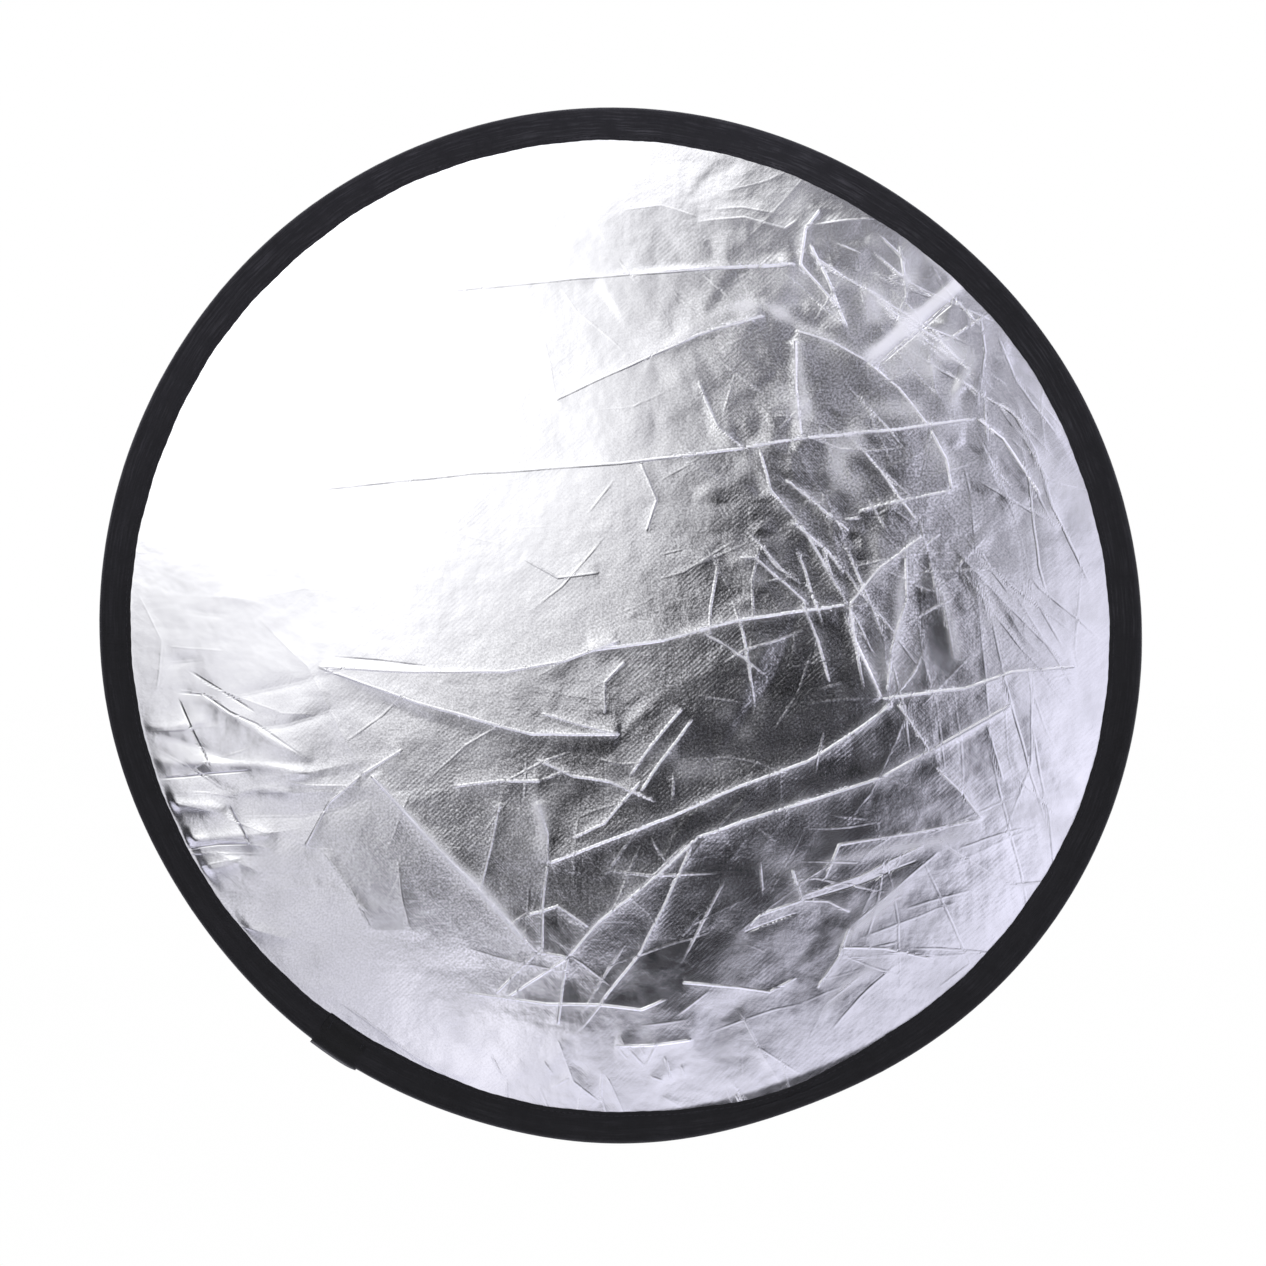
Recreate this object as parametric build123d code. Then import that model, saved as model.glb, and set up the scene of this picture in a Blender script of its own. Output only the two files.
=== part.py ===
from build123d import *
import math
import os

# Collapsible reflector disc, standing upright. Millimetres, +Z up, the disc's axis along Y.
# The silver face looks along -Y. The origin is the centre of the disc.
# The disc bends about upright lines, so its ring and its fabrics are cut into five strips there.

# the disc
OUTER_RADIUS = 300.0
BINDING_WIDTH = 18.0

# the hinge lines stand at plus and minus these distances from the centre
INNER_HINGE_X = 40.0
OUTER_HINGE_X = 120.0
EDGE_GAP = 1.9
FABRIC_GAP = 0.6

# the two fabrics lie face to face, and their edges end inside the binding
FABRIC_THICKNESS = 0.4
FABRIC_RADIUS = 292.0

# the binding is a tape folded over the edge: flat leaves, and a bead around the hoop
TAPE_THICKNESS = 0.5
BEAD_HALF_DEPTH = 3.0
LEAF_FLAT_END = 290.0
BEAD_FLAT_START = 294.5
BEAD_FLAT_END = 298.2
RIM_HALF_DEPTH = 1.6

# the hoop is a flat spring steel band standing on edge
BAND_OUTER_RADIUS = 297.6
BAND_THICKNESS = 0.9
BAND_WIDTH = 4.0

# the ferrule joins the two ends of the band
JOIN_ANGLE = 236.3
FERRULE_LENGTH = 28.0
FERRULE_WALL = 0.4

# the tape's last end laps over its first one
OVERLAP_LENGTH = 31.0
OVERLAP_THICKNESS = 0.6
OVERLAP_INNER_STEP = 1.4
OVERLAP_OUTER_STEP = 2.0

# the seam runs round the leaves, and short bars of thread lock the lapped end
SEAM_RADIUS = 284.6
THREAD_WIDTH = 0.9
THREAD_HEIGHT = 0.3
BARTACK_COUNT = 2
BARTACK_LENGTH = 5.5

STRIPS = {
    "left_outer": (-OUTER_RADIUS - 10.0, -OUTER_HINGE_X),
    "left_inner": (-OUTER_HINGE_X, -INNER_HINGE_X),
    "centre": (-INNER_HINGE_X, INNER_HINGE_X),
    "right_inner": (INNER_HINGE_X, OUTER_HINGE_X),
    "right_outer": (OUTER_HINGE_X, OUTER_RADIUS + 10.0),
}


def turned(points, arc=360.0):
    """A closed outline of (radius, depth) points turned about the disc's axis, from +X."""
    face = make_face(Polyline(*points, close=True))
    return revolve(face, axis=Axis.Y, revolution_arc=arc)


def around_join(points, length):
    """The outline turned over a short arc that is centred on the place where the ends join."""
    arc = math.degrees(length / OUTER_RADIUS)
    solid = turned(points, arc)
    middle = (solid.center().X, solid.center().Z)
    now = math.degrees(math.atan2(middle[1], middle[0]))
    # a positive turn about Y carries +X towards -Z
    return solid.rotate(Axis.Y, now - JOIN_ANGLE)


def binding_outline(grow=0.0):
    """The outside of the folded tape, from the front leaf's edge round to the back leaf's edge."""
    leaf = FABRIC_THICKNESS + TAPE_THICKNESS
    half = [
        (OUTER_RADIUS - BINDING_WIDTH, leaf + grow),
        (LEAF_FLAT_END, leaf + grow),
        (BEAD_FLAT_START, BEAD_HALF_DEPTH + grow),
        (BEAD_FLAT_END, BEAD_HALF_DEPTH + grow),
        (OUTER_RADIUS, RIM_HALF_DEPTH + grow),
    ]
    front = [(radius, -depth) for radius, depth in half]
    return front, half[::-1]


def binding_ring():
    """The tape's U section: flat on the fabrics at its edges, hollow around the hoop."""
    front, back = binding_outline()
    inside = [
        (OUTER_RADIUS - BINDING_WIDTH, FABRIC_THICKNESS),
        (FABRIC_RADIUS + 0.3, FABRIC_THICKNESS),
        (BEAD_FLAT_START, BEAD_HALF_DEPTH - TAPE_THICKNESS),
        (BEAD_FLAT_END, BEAD_HALF_DEPTH - TAPE_THICKNESS),
        (OUTER_RADIUS - TAPE_THICKNESS, RIM_HALF_DEPTH - 0.3),
    ]
    inside_front = [(radius, -depth) for radius, depth in inside]
    return turned(front + back + inside + inside_front[::-1])


def fabric_disc(side):
    """One fabric: a round sheet that touches the other one at depth 0."""
    return turned(
        [
            (0.0, 0.0),
            (FABRIC_RADIUS, 0.0),
            (FABRIC_RADIUS, side * FABRIC_THICKNESS),
            (0.0, side * FABRIC_THICKNESS),
        ]
    )


def band_ring():
    half = BAND_WIDTH / 2
    inner = BAND_OUTER_RADIUS - BAND_THICKNESS
    return turned(
        [(inner, -half), (BAND_OUTER_RADIUS, -half), (BAND_OUTER_RADIUS, half), (inner, half)]
    )


def seam_ring(side):
    """A line of thread lying on one leaf of the binding."""
    low = FABRIC_THICKNESS + TAPE_THICKNESS
    inner = SEAM_RADIUS - THREAD_WIDTH / 2
    outer = SEAM_RADIUS + THREAD_WIDTH / 2
    return turned(
        [
            (inner, side * low),
            (outer, side * low),
            (outer, side * (low + THREAD_HEIGHT)),
            (inner, side * (low + THREAD_HEIGHT)),
        ]
    )


def ferrule():
    """A crimped sleeve round the band, closed on all four sides and open at both ends."""
    half = BAND_WIDTH / 2
    inner = BAND_OUTER_RADIUS - BAND_THICKNESS
    sleeve = around_join(
        [
            (inner - FERRULE_WALL, -half - FERRULE_WALL),
            (BAND_OUTER_RADIUS + FERRULE_WALL, -half - FERRULE_WALL),
            (BAND_OUTER_RADIUS + FERRULE_WALL, half + FERRULE_WALL),
            (inner - FERRULE_WALL, half + FERRULE_WALL),
        ],
        FERRULE_LENGTH,
    )
    return sleeve - band_ring()


def overlap():
    """The lapped end of the tape: a second U over the binding, a little proud of it all round."""
    front, back = binding_outline()
    skin_front, skin_back = binding_outline(OVERLAP_THICKNESS)
    inner_edge = OUTER_RADIUS - BINDING_WIDTH - OVERLAP_INNER_STEP
    outer_edge = OUTER_RADIUS + OVERLAP_OUTER_STEP
    skin_front[0] = (inner_edge, skin_front[0][1])
    skin_back[-1] = (inner_edge, skin_back[-1][1])
    skin_front[-1] = (outer_edge, -RIM_HALF_DEPTH)
    skin_back[0] = (outer_edge, RIM_HALF_DEPTH)
    leaf = FABRIC_THICKNESS + TAPE_THICKNESS
    under_back = [(radius, depth) for radius, depth in back[::-1]]
    under_front = [(radius, depth) for radius, depth in front]
    outline = (
        skin_front
        + skin_back
        + [(inner_edge, leaf)]
        + under_back
        + under_front[::-1]
        + [(inner_edge, -leaf)]
    )
    return around_join(outline, OVERLAP_LENGTH)


def bartacks():
    """Short bars of thread across the lapped end, on the front leaf and on the back leaf."""
    low = FABRIC_THICKNESS + TAPE_THICKNESS + OVERLAP_THICKNESS
    spacing = OVERLAP_LENGTH - 8.0
    bars = []
    for side in (-1, 1):
        for number in range(BARTACK_COUNT):
            along = (number - (BARTACK_COUNT - 1) / 2) * spacing
            turn = math.degrees(along / OUTER_RADIUS)
            bar = Box(BARTACK_LENGTH, THREAD_HEIGHT, THREAD_WIDTH)
            bar = bar.translate((SEAM_RADIUS + 1.8, side * (low + THREAD_HEIGHT / 2), 0.0))
            bars.append(bar.rotate(Axis.Y, -(JOIN_ANGLE + turn)))
    return bars


def strip(shape, name, gap):
    """The part of a shape that lies in one strip, a gap clear of the hinge lines."""
    left, right = STRIPS[name]
    width = right - left - 2 * gap
    slab = Box(width, 40.0, 2 * OUTER_RADIUS + 40.0)
    return shape & slab.translate(((left + right) / 2, 0.0, 0.0))


def write(name, shapes):
    solids = []
    for shape in shapes:
        solids.extend(shape.solids())
    export_step(Compound(children=solids), f"parts/{name}.step")


os.makedirs("parts", exist_ok=True)

cut_by_strip = {
    "silver_face": (fabric_disc(-1), FABRIC_GAP),
    "back_face": (fabric_disc(1), FABRIC_GAP),
    "edge_binding": (binding_ring(), EDGE_GAP),
    "spring_band": (band_ring(), EDGE_GAP),
    "front_stitching": (seam_ring(-1), EDGE_GAP),
    "back_stitching": (seam_ring(1), EDGE_GAP),
}
lap = overlap()
for kind, (shape, gap) in cut_by_strip.items():
    for strip_name in STRIPS:
        part = strip(shape, strip_name, gap)
        if strip_name == "left_outer" and kind.endswith("stitching"):
            # the seam passes under the lapped end there
            part = part - lap
        write(f"{kind}_{strip_name}", [part])

write("band_ferrule", [ferrule()])
write("binding_overlap", [lap])
write("overlap_bartack", bartacks())
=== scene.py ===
import math

import bpy
import numpy as np
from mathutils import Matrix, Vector
from mathutils.geometry import delaunay_2d_cdt


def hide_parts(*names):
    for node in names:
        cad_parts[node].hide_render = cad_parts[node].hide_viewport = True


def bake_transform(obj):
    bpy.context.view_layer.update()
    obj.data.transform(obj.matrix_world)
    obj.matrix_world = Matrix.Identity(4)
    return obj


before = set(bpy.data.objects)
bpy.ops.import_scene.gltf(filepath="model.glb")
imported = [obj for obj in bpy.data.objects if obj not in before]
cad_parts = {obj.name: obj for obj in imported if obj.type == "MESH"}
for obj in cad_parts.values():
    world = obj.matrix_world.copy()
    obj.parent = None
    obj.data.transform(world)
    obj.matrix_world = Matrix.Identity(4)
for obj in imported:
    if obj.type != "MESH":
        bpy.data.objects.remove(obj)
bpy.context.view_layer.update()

MM = 0.001

# ---- sizes of the disc, in metres; the disc stands in the XZ plane and its silver face looks along -Y

RADIUS = 0.300
BINDING_WIDTH = 0.0183
# the fabric is modelled this far out, under the binding, whose leaves hold it from the smaller radius on
SHEET_RADIUS = 0.2900
LEAF_EDGE_RADIUS = 0.2820
# how far each fabric lies from the disc's middle plane at the rim
FABRIC_LIFT = 0.42 * MM
GRID = 0.001

# the outline isn't quite a circle: (waves round the rim, share of the radius, angle of a crest in degrees)
OUT_OF_ROUND = [(2, 0.0080, -30), (3, 0.0030, -10), (4, 0.0025, -13)]
# where the binding is wider or narrower: (angle in degrees, spread in degrees, change in millimetres)
WIDTH_CHANGES = [
    (84, 18, 1.2), (60, 7, 1.2), (10, 14, 0.7), (190, 12, -0.5),
    (213, 9, -1.6), (243, 10, 1.2), (290, 10, -4.6),
]
# where the rim stands out or in, in the same way
RIM_DENTS = [
    (30, 18, 1.5), (150, 14, -0.6), (190, 16, 1.5), (236, 12, 1.0),
    (270, 14, 1.5), (291, 11, -1.2), (322, 20, 1.3),
]
# the rim also bends a little out of its plane
SADDLE = 0.0022
SADDLE_ANGLE = 35

# the fabric bulges towards the viewer
BULGE = 0.0075

# the bending pieces across the disc: (name, left and right edges, the two bodies that the piece follows,
# and where it hands over from the first body to the second)
PANELS = [
    ("left", -0.32, -0.08, "left_outer", "left_inner", -0.16, -0.08),
    ("mid_left", -0.08, 0.0, "left_inner", "centre", -0.08, 0.0),
    ("mid_right", 0.0, 0.08, "centre", "right_inner", 0.0, 0.08),
    ("right", 0.08, 0.32, "right_inner", "right_outer", 0.08, 0.16),
]

# the tape's lapped end and the band's ferrule sit at the same place, in degrees
JOIN_ANGLE = 236.3
OVERLAP_LENGTH = 0.031
FERRULE_LENGTH = 0.028

# ---- how finely the meshes are cut

BINDING_STEPS = 1440
BAND_STEPS = 720
OVERLAP_STEPS = 49
FERRULE_STEPS = 41
STITCHES = 470

# ---- creases that folding has pressed into the fabric, as points (right, up) in hundredths of the radius

# a wide worn ridge at the upper right
WIDE_RIDGES = [
    [(75, 74.5), (66.5, 67), (57, 59), (47, 50.8)],
]
# broad pale folds, rubbed a little all along
PALE_FOLDS = [
    [(34.5, 57), (34.8, 50), (36.2, 43), (37, 38.5)],
    [(-2, 49), (10, 54.5), (21, 61.5), (28, 62), (36, 57.5), (50, 51)],
    [(58.5, 74.5), (63, 70), (67, 66.5)],
    [(71.5, 66), (74.5, 60), (76.5, 55)],
    [(64, 41), (66, 47), (70, 53)],
    [(-48, -29), (-38, -40), (-28, -50), (-16, -63)],
    [(36, -46.5), (50, -43), (68, -40)],
    [(40, -62.5), (48, -56), (56, -48)],
    [(60.5, 10), (63.5, 0), (65, -8)],
    [(54.5, 12), (53.5, 2), (52.5, -8)],
    [(38, -76), (44, -69), (51, -64)],
    [(-15, -46.5), (-15, -38), (-17, -30)],
]
# rounded gathers at the left rim
GATHERS = [
    [(-92, -19.5), (-87, -20), (-81, -19), (-76, -20)],
    [(-92, -26.2), (-86, -26.6), (-78, -26.6), (-70, -27), (-60, -28.8)],
    [(-90, -35), (-84, -34.8), (-76, -35.5)],
    [(-88, -41.5), (-81, -41.5), (-74, -40.8), (-66, -40)],
    [(-83, -12), (-74, -17.5), (-66, -22.8), (-59, -26.2)],
    [(-86, -48), (-80, -47.5), (-74, -46)],
]
# thin clefts under folds that lie over: shallow grooves, with painted shade drawn dark along them
DARK_CLEFTS = [
    [(65.5, 64.2), (57, 56.9), (49, 50.3)],
    [(66, 63.8), (57.5, 56.5), (50, 50.2)],
    [(35, -53.1), (46, -49.5), (57, -45)],
    [(24, -59.4), (28, -57.8), (34, -55.6)],
    [(-83, -8.5), (-76, -13), (-70, -16.8)],
    [(-85, -13), (-80, -13.3), (-75, -16.7), (-70, -19), (-61, -25.3)],
    [(-89, -29.7), (-80, -28.8), (-71, -28)],
    [(-84, -43.3), (-78, -42.5), (-71, -42.3)],
    [(-85, -14), (-82, -21), (-79, -27.3)],
    [(-75.7, -34.7), (-72, -42)],
    [(-55, -6.2), (-46, -6.8), (-37, -8)],
]
# long sharp creases, worn bright
BOLD_CREASES = [
    [(-58, 26), (-29, 29), (0, 31), (23, 34), (34, 36), (55, 38), (69, 40)],
    [(-6, -5), (8, -3), (23, 1), (37, 3), (44, 4)],
    [(44, 4), (50, 11), (58, 17)],
    [(44, 4), (45, -3), (50, -14)],
    [(50, -14), (66, -12), (75, -9), (87, -8)],
    [(-14, -46), (12, -36), (23, -31), (36, -26), (44, -21), (52, -15)],
    [(-58, -8), (-39, -15), (-17, -21), (0, -21)],
    [(-58, -8), (-39, -9), (-22, -9), (-11, -7), (0, -3)],
    [(-48, -29), (-38, -40), (-28, -50), (-16, -63)],
    [(-10, -64), (-4, -57), (5, -50), (15, -41), (23, -38), (41, -32), (50, -29), (59, -24), (75, -15)],
    [(34, 55), (34, 46), (35, 36)],
    [(34, 70), (19, 69), (-4, 67), (-35, 64)],
    [(28, 60), (15, 56), (0, 49), (-13, 43)],
]
# shorter sharp creases
LINE_CREASES = [
    [(69, 40), (74, 36), (81, 25)],
    [(39, 81), (36, 77), (35, 70), (43, 61)],
    [(37, 74), (40, 68), (44, 58)],
    [(48, 51), (41, 55), (34, 57)],
    [(48, 51), (54, 46), (60, 38)],
    [(60, 38), (63, 32), (64, 26)],
    [(64, 26), (54, 24), (46, 22)],
    [(45, 36), (50, 30), (57, 20)],
    [(27, 34), (29, 26), (35, 19), (43, 5)],
    [(32, 28), (38, 23), (44, 18)],
    [(33, 20), (40, 14), (43, 10)],
    [(23, 13), (26, 13), (36, 4)],
    [(35, 4), (38, -3), (40, -11)],
    [(14, -42), (9, -53), (4, -63), (-4, -73)],
    [(-16, -63), (-10, -64)],
    [(-16, -63), (-24, -71)],
    [(-10, -64), (-22, -72)],
    [(-10, -64), (-11, -69), (-12, -77)],
    [(-30, -71), (-14, -73), (-4, -73), (4, -74), (9, -72)],
    [(-14, -46), (-15, -54), (-15, -63)],
    [(-14, -46), (-14, -40), (-16, -34)],
    [(1, -7), (-3, -11), (-3, -17)],
    [(-15, -17), (-8, -19), (0, -21)],
    [(12, -16), (6, -23), (2, -29)],
    [(14, -18), (8, -26), (4, -32)],
    [(4, -30), (-3, -38), (-9, -41)],
    [(-16, -26), (-9, -29), (-2, -30), (7, -34)],
    [(-32, -31), (-23, -30), (-15, -30)],
    [(-23, -34), (-25, -43), (-27, -51)],
    [(53, -15), (59, -24)],
    [(60, -27), (65, -32), (69, -37)],
    [(69, -37), (54, -40), (42, -42), (39, -49)],
    [(35, -52), (46, -48), (58, -42)],
    [(25, -58), (27, -56), (35, -53), (40, -53), (44, -55)],
    [(33, -47), (35, -53)],
    [(44, -58), (42, -64), (38, -70)],
    [(42, -62), (51, -62), (60, -64)],
    [(-1, -81), (6, -81), (14, -80)],
    [(12, -69), (23, -70), (29, -71), (34, -68)],
    [(-18, -56), (-12, -54), (-6, -58)],
    [(-50, -29), (-56, -34), (-61, -43)],
    [(-50, -29), (-42, -24)],
    [(55, 15), (55, 5), (52, -5), (51, -13)],
    [(15, 47), (19, 38), (24, 34)],
    [(4, 31), (7, 24), (5, 18)],
    [(-19, 13), (-12, 9), (-4, 10)],
]
# rounded creases, hardly worn
SOFT_CREASES = [
    [(-66, -30), (-60, -31), (-50, -31)],
    [(-82, -47), (-73, -45)],
    [(-87, -4), (-76, -5)],
    [(-70, 2), (-60, -8), (-53, -22), (-50, -28)],
    [(-93, 7), (-88, -3), (-89, -13)],
    [(59, 14), (62, 5), (64, -7)],
    [(64, 15), (73, 5), (85, -7)],
    [(69, 28), (79, 22), (85, 19)],
    [(75, 43), (80, 34), (84, 21)],
    [(70, 61), (71, 53), (69, 42)],
    [(73, 57), (77, 47), (85, 36)],
    [(60, 55), (61, 46), (64, 40)],
    [(0, 80), (8, 81), (15, 79)],
    [(15, 78), (24, 79), (32, 77), (35, 79)],
    [(-15, 56), (-13, 48), (-12, 41)],
    [(-43, -45), (-42, -53), (-40, -61)],
    [(-58, -43), (-52, -51), (-48, -59)],
    [(-54, -73), (-39, -84), (-29, -90)],
    [(44, -58), (52, -51), (61, -43)],
    [(53, -65), (46, -72), (41, -78)],
    [(70, -19), (73, -30)],
    [(23, -74), (27, -82), (35, -87)],
    [(-12, -80), (-9, -88), (-4, -92)],
]

# ---- the warped frame that every piece follows


def bumps_at(angle, bumps):
    """The sum of rounded bumps (angle, spread, height) round the rim, in the bumps' own unit."""
    total = np.zeros_like(angle)
    for centre, spread, height in bumps:
        apart = (angle - math.radians(centre) + math.pi) % (2 * math.pi) - math.pi
        total += height * np.exp(-((apart / math.radians(spread)) ** 2))
    return total


def outline_scale(angle):
    """How far out the rim stands, as a share of the radius."""
    scale = np.ones_like(angle)
    for waves, share, crest in OUT_OF_ROUND:
        scale += share * np.cos(waves * (angle - math.radians(crest)))
    return scale + bumps_at(angle, RIM_DENTS) * MM / RADIUS


def warped(points):
    """Flat-disc points moved to where they are on the sprung disc: not quite round, and not quite flat."""
    points = np.array(points, float)
    x, y, z = points[:, 0], points[:, 1], points[:, 2]
    reach = np.hypot(x, z) / RADIUS
    angle = np.arctan2(z, x)
    scale = 1 + (outline_scale(angle) - 1) * reach
    lift = SADDLE * reach**2 * np.cos(2 * (angle - math.radians(SADDLE_ANGLE)))
    return np.column_stack([x * scale, y + lift, z * scale])


def binding_width(angle):
    return BINDING_WIDTH + bumps_at(angle, WIDTH_CHANGES) * MM


# ---- relief of the fabric, worked out on a square grid over the disc

HALF_CELLS = int(round((SHEET_RADIUS + 2 * MM) / GRID))
AXIS = np.arange(-HALF_CELLS, HALF_CELLS + 1) * GRID
GRID_X, GRID_Z = np.meshgrid(AXIS, AXIS, indexing="ij")
GRID_REACH = np.hypot(GRID_X, GRID_Z)


def smooth_noise(size, random):
    """Rounded random hills over the grid, about as wide as size, between -1 and 1."""
    count = int(math.ceil(2 * AXIS[-1] / size)) + 3
    knots = random.uniform(-1, 1, (count, count))
    at = (AXIS - AXIS[0]) / size
    low = np.floor(at).astype(int)
    share = at - low
    share = share**3 * (share * (share * 6 - 15) + 10)
    rows = knots[low] * (1 - share)[:, None] + knots[low + 1] * share[:, None]
    return rows[:, low] * (1 - share)[None, :] + rows[:, low + 1] * share[None, :]


def softened(field, passes):
    """The field with its sharp edges blurred by a cell at each pass."""
    for _ in range(passes):
        padded = np.pad(field, 1, mode="edge")
        field = (padded[:-2, 1:-1] + 2 * padded[1:-1, 1:-1] + padded[2:, 1:-1]) / 4
        padded = np.pad(field, 1, mode="edge")
        field = (padded[1:-1, :-2] + 2 * padded[1:-1, 1:-1] + padded[1:-1, 2:]) / 4
    return field


def window(low, high):
    """The slice of the grid's axis that covers a stretch in metres."""
    first = int(np.clip(math.floor((low - AXIS[0]) / GRID), 0, len(AXIS) - 1))
    last = int(np.clip(math.ceil((high - AXIS[0]) / GRID) + 1, first + 1, len(AXIS)))
    return slice(first, last)


# a fold's top is rounded, and the foil is worn a little beside it
TOP_ROUNDING = 1.2 * MM
WORN_BAND = 3.6 * MM
# the worn lines are known this far from each fold
LINE_REACH = 4 * MM


class Fabric:
    """The creased fabric over the grid: how high it stands, how far creasing has worn its foil, and where
    shade is painted along its clefts.
    """

    def __init__(self, random):
        self.height = np.zeros_like(GRID_X)
        self.wear = np.zeros_like(GRID_X)
        self.line = np.zeros_like(GRID_X)
        self.line_gap = np.full_like(GRID_X, LINE_REACH)
        self.line_way = np.zeros((*GRID_X.shape, 3))
        self.x = GRID_X + smooth_noise(0.014, random) * 0.30 * MM
        self.z = GRID_Z + smooth_noise(0.014, random) * 0.30 * MM

    def mark_line(self, across, up, way_x, way_z, worn):
        """Keeps the way in millimetres to the nearest of the worn lines and the lines of painted shade, from
        which the foil's nodes draw a line that is finer than the grid."""
        gap = self.line_gap[across, up]
        away = np.hypot(way_x, way_z)
        nearer = away < gap
        gap[nearer] = away[nearer]
        closeness = 1 - away / (2 * MM)
        way = np.stack([way_x / MM, way_z / MM, closeness], axis=-1)
        self.line_way[across, up][nearer] = way[nearer]
        self.line[across, up][nearer] = worn[nearer]

    def crease(self, points, depth, width, worn, taper, halo_wear=None):
        """One fold along a line of points, fading to its sides and, over the share taper, to its ends. worn
        is how worn and bright its line is, and under 0 how dark the painted shade along it is; halo_wear is
        how worn the foil beside it is."""
        steps = [math.dist(a, b) for a, b in zip(points, points[1:])]
        total = sum(steps)
        reach = max(5 * width, 14 * MM * (worn > 0))
        xs = [p[0] for p in points]
        zs = [p[1] for p in points]
        across = window(min(xs) - reach, max(xs) + reach)
        up = window(min(zs) - reach, max(zs) + reach)
        x = self.x[across, up]
        z = self.z[across, up]
        ridge = np.zeros_like(x)
        halo = np.zeros_like(x)
        done = 0.0
        for (x0, z0), (x1, z1), step in zip(points, points[1:], steps):
            along = ((x - x0) * (x1 - x0) + (z - z0) * (z1 - z0)) / step**2
            along = np.clip(along, 0, 1)
            way_x = x - x0 - along * (x1 - x0)
            way_z = z - z0 - along * (z1 - z0)
            away = np.hypot(way_x, way_z)
            place = (done + along * step) / total
            fade = np.clip(np.minimum(place, 1 - place) / taper, 0, 1)
            fade = fade * (2 - fade)
            ridge = np.maximum(ridge, fade * np.exp(-np.sqrt(away**2 + TOP_ROUNDING**2) / width))
            if worn:
                self.mark_line(across, up, way_x, way_z, worn * fade)
            halo = np.maximum(halo, fade * np.exp(-((away / WORN_BAND) ** 2)))
            done += step
        self.height[across, up] += depth * ridge
        if halo_wear is None:
            halo_wear = 0.12 * max(worn, 0) ** 2
        self.wear[across, up] += halo_wear * halo


def lay_facets(points, heights, triangles):
    """The height of flat triangles spanned between points, over the whole grid."""
    field = np.zeros_like(GRID_X)
    for corners in triangles:
        (x0, z0), (x1, z1), (x2, z2) = [points[i] for i in corners]
        area = (x1 - x0) * (z2 - z0) - (x2 - x0) * (z1 - z0)
        if abs(area) < 1e-12:
            continue
        across = window(min(x0, x1, x2), max(x0, x1, x2))
        up = window(min(z0, z1, z2), max(z0, z1, z2))
        x, z = GRID_X[across, up], GRID_Z[across, up]
        b = ((x - x0) * (z2 - z0) - (x2 - x0) * (z - z0)) / area
        c = ((x1 - x0) * (z - z0) - (x - x0) * (z1 - z0)) / area
        a = 1 - b - c
        inside = (a >= -1e-9) & (b >= -1e-9) & (c >= -1e-9)
        value = a * heights[corners[0]] + b * heights[corners[1]] + c * heights[corners[2]]
        field[across, up] = np.where(inside, value, field[across, up])
    return field


def crumple_facets(spacing, relief, lines, line_relief, random):
    """Flat-sided crumples: triangles between scattered points, with the given crease lines as edges."""
    points, heights, edges = [], [], []
    for line in lines:
        for number, point in enumerate(line):
            points.append(Vector(point))
            heights.append(line_relief * random.uniform(0.5, 1.0))
            if number:
                edges.append((len(points) - 2, len(points) - 1))
    steps = int(0.31 / spacing)
    for i in range(-steps, steps + 1):
        for j in range(-steps, steps + 1):
            x = (i + random.uniform(-0.45, 0.45)) * spacing
            z = (j + random.uniform(-0.45, 0.45)) * spacing
            points.append(Vector((x, z)))
            heights.append(random.normal(0, relief))
    corners, _, faces, origins, _, _ = delaunay_2d_cdt(points, edges, [], 0, 1e-6)
    tops = [heights[source[0]] if source else 0.0 for source in origins]
    return lay_facets([tuple(c) for c in corners], tops, faces)


# how each kind of crease is pressed in: its depth and width in millimetres, how worn its line is (under 0,
# how dark the painted shade along it is), the share of its length over which each end fades, and how worn the
# foil beside it is, if the line doesn't say that
CREASE_KINDS = [
    (BOLD_CREASES, 0.12, 1.8, 1.20, 0.03, None),
    (BOLD_CREASES, 0.22, 8.0, 0.00, 0.03, None),
    (LINE_CREASES, 0.10, 1.8, 0.70, 0.08, None),
    (LINE_CREASES, 0.12, 5.0, 0.00, 0.08, None),
    (SOFT_CREASES, 0.18, 4.0, 0.22, 0.20, None),
    (WIDE_RIDGES, 0.25, 5.0, 0.00, 0.30, 1.30),
    (PALE_FOLDS, 0.12, 4.0, 0.00, 0.35, 0.38),
    (GATHERS, 0.75, 5.0, 0.00, 0.35, None),
    (DARK_CLEFTS, -0.22, 3.0, -0.70, 0.25, None),
]

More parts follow.
